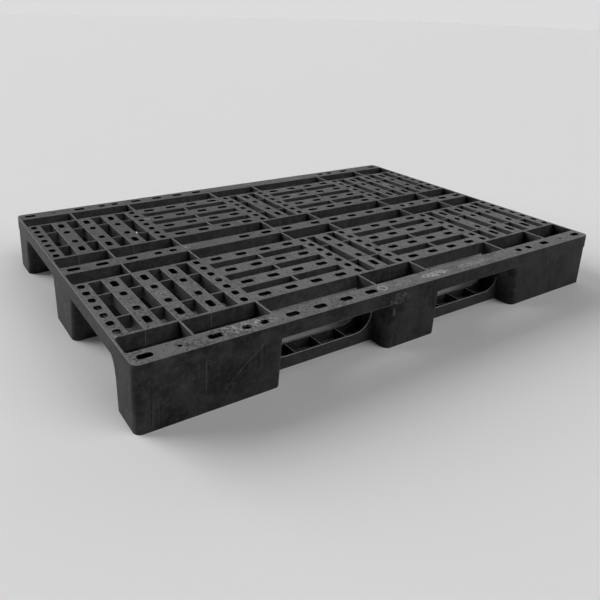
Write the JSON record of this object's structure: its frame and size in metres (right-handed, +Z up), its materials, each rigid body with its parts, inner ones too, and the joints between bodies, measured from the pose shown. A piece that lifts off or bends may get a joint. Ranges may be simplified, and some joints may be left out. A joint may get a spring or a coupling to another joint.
{
  "type": "plastic pallet",
  "caption": "Open-deck plastic pallet: grid deck on a deep skirt, hollow block feet in three rows, channel runners with ribs, fork entries on all four sides.",
  "frame": {"origin": "middle of the footprint, on the floor", "axes": "+X along the length, +Y across the width towards the rear long side, +Z up"},
  "size_m": [1.2, 0.8, 0.128],
  "materials": {
    "deck_plastic": "matt moulded polyethylene, dark grey, lightly scuffed",
    "foot_plastic": "matt moulded polyethylene, dark grey, with draw marks",
    "runner_plastic": "matt moulded polyethylene, dark grey"
  },
  "bodies": {
    "root": {"band_ribs_front_inner": "deck_plastic", "band_ribs_front_outer": "deck_plastic", "band_ribs_rear_inner": "deck_plastic", "band_ribs_rear_outer": "deck_plastic", "centre_panel_front": "deck_plastic", "centre_panel_rear": "deck_plastic", "centre_rail": "deck_plastic", "end_panel_front_left": "deck_plastic", "end_panel_front_right": "deck_plastic", "end_panel_rear_left": "deck_plastic", "end_panel_rear_right": "deck_plastic", "end_skirt_left": "deck_plastic", "end_skirt_right": "deck_plastic", "foot_centre_left": "foot_plastic", "foot_centre_middle": "foot_plastic", "foot_centre_right": "foot_plastic", "foot_front_left": "foot_plastic", "foot_front_middle": "foot_plastic", "foot_front_right": "foot_plastic", "foot_rear_left": "foot_plastic", "foot_rear_middle": "foot_plastic", "foot_rear_right": "foot_plastic", "front_rail": "deck_plastic", "rear_rail": "deck_plastic", "runner_centre_left": "runner_plastic", "runner_centre_right": "runner_plastic", "runner_front_left": "runner_plastic", "runner_front_right": "runner_plastic", "runner_rear_left": "runner_plastic", "runner_rear_right": "runner_plastic", "slat_panel_front_left": "deck_plastic", "slat_panel_front_right": "deck_plastic", "slat_panel_rear_left": "deck_plastic", "slat_panel_rear_right": "deck_plastic"}
  },
  "joints": []
}
